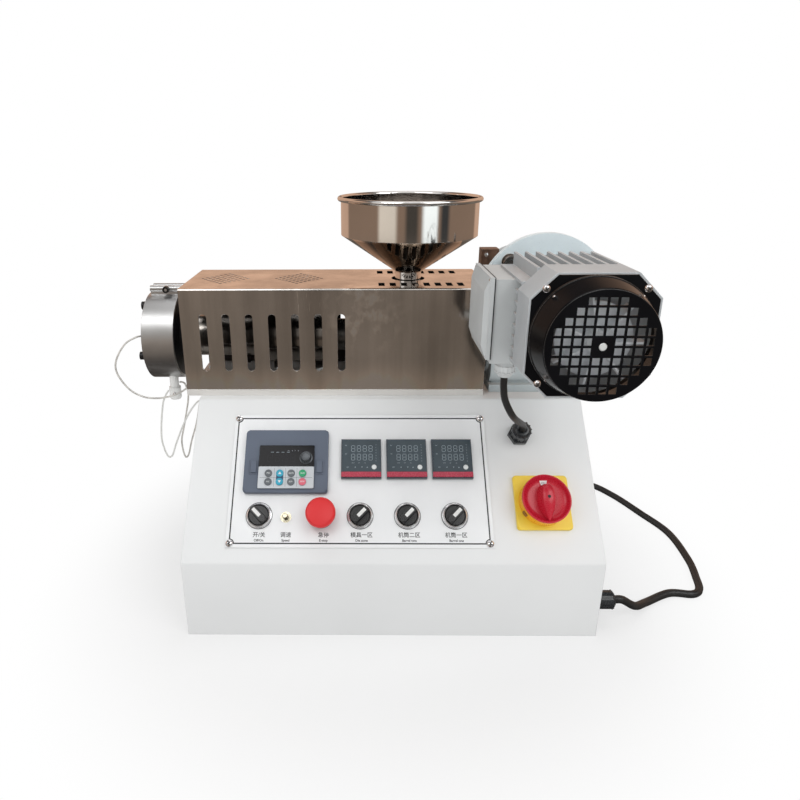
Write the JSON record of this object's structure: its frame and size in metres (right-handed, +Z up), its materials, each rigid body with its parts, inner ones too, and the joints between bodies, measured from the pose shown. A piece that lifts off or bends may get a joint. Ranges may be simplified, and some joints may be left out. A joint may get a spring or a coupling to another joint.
{
  "type": "tabletop single screw extruder",
  "caption": "Tabletop single screw extruder: sloped control cabinet under a covered heated barrel with a die at the left, a steel feed hopper, and a worm gear unit and motor at the right.",
  "frame": {"origin": "middle of the cabinet's underside, on the surface it stands on", "axes": "+X along the barrel from the die to the drive end, +Y from the operator's side to the back, +Z up"},
  "size_m": [0.8073, 0.5821, 0.5068],
  "materials": {
    "painted_sheet": "satin",
    "brushed_plate": "brushed",
    "blue_grey_plastic": "matt",
    "dark_plastic": "matt",
    "black_plastic": "semi gloss",
    "bright_metal": "polished",
    "red_plastic": "gloss",
    "yellow_plastic": "gloss",
    "polished_stainless": "mirror",
    "machined_steel": "machined",
    "band_steel": "brushed",
    "ceramic": "glazed",
    "braided_wire": "braided",
    "cast_paint": "satin",
    "cast_aluminium": "satin",
    "grey_box": "satin",
    "pale_plastic": "matt",
    "black_sheet": "gloss",
    "black_rubber": "matt"
  },
  "bodies": {
    "machine": {"cabinet_wrap": "painted_sheet", "cabinet_sides": "painted_sheet", "cabinet_back_floor": "painted_sheet", "instrument_plate": "brushed_plate", "keypad_frame": "blue_grey_plastic", "drive_keypad": "dark_plastic", "temperature_controllers": "dark_plastic", "selector_bezels": "bright_metal", "stop_collar": "black_plastic", "speed_pot": "bright_metal", "main_switch_plate": "yellow_plastic", "cable_glands": "black_plastic", "motor_cable": "black_rubber", "barrel_tray": "polished_stainless", "barrel_cover": "polished_stainless", "hopper": "polished_stainless", "hopper_neck": "polished_stainless", "feed_block": "machined_steel", "barrel": "machined_steel", "screw": "machined_steel", "heater_bands": "band_steel", "die_body": "machined_steel", "die_heater": "band_steel", "die_connector": "ceramic", "thermocouple": "braided_wire", "heater_lead_a": "braided_wire", "heater_lead_b": "braided_wire", "gearbox": "cast_paint", "motor_flange": "cast_paint", "motor_body": "cast_aluminium", "motor_end_shield": "cast_aluminium", "fan_cowl": "black_sheet", "junction_box": "grey_box", "junction_lid": "grey_box", "mains_cord": "black_rubber", "mains_coil": "black_rubber", "mains_plug": "black_rubber"},
    "keypad_knob": {"keypad_knob": "dark_plastic"},
    "selector_1": {"selector_knob_1": "black_plastic"},
    "selector_2": {"selector_knob_2": "black_plastic"},
    "selector_3": {"selector_knob_3": "black_plastic"},
    "selector_4": {"selector_knob_4": "black_plastic"},
    "stop_button": {"stop_button": "red_plastic"},
    "main_switch": {"main_switch_knob": "red_plastic"},
    "fan": {"motor_fan": "pale_plastic"}
  },
  "joints": [
    {"name": "selector_1_turn", "type": "hinge", "parent": "machine", "child": "selector_1", "pos_m": [-0.1608, -0.12554, 0.14386], "axis": [0, -0.7193, 0.6947], "range_deg": [-90, 0]},
    {"name": "selector_2_turn", "type": "hinge", "parent": "machine", "child": "selector_2", "pos_m": [-0.0383, -0.12554, 0.14386], "axis": [0, -0.7193, 0.6947], "range_deg": [0, 90]},
    {"name": "selector_3_turn", "type": "hinge", "parent": "machine", "child": "selector_3", "pos_m": [0.019, -0.12554, 0.14386], "axis": [0, -0.7193, 0.6947], "range_deg": [0, 90]},
    {"name": "selector_4_turn", "type": "hinge", "parent": "machine", "child": "selector_4", "pos_m": [0.0762, -0.12554, 0.14386], "axis": [0, -0.7193, 0.6947], "range_deg": [0, 90]},
    {"name": "keypad_knob_turn", "type": "hinge", "parent": "machine", "child": "keypad_knob", "pos_m": [-0.1053, -0.07726, 0.19385], "axis": [0, -0.7193, 0.6947], "range_deg": [-150, 150]},
    {"name": "stop_push", "type": "slide", "parent": "machine", "child": "stop_button", "axis": [0, 0.7193, -0.6947], "range_m": [0, 0.004]},
    {"name": "main_switch_turn", "type": "hinge", "parent": "machine", "child": "main_switch", "pos_m": [0.183, -0.11429, 0.15551], "axis": [0, 0.7193, -0.6947], "range_deg": [0, 90]},
    {"name": "fan_spin", "type": "hinge", "parent": "machine", "child": "fan", "pos_m": [0.182, -0.22, 0.39406], "axis": [0, 1, 0], "continuous": true}
  ]
}
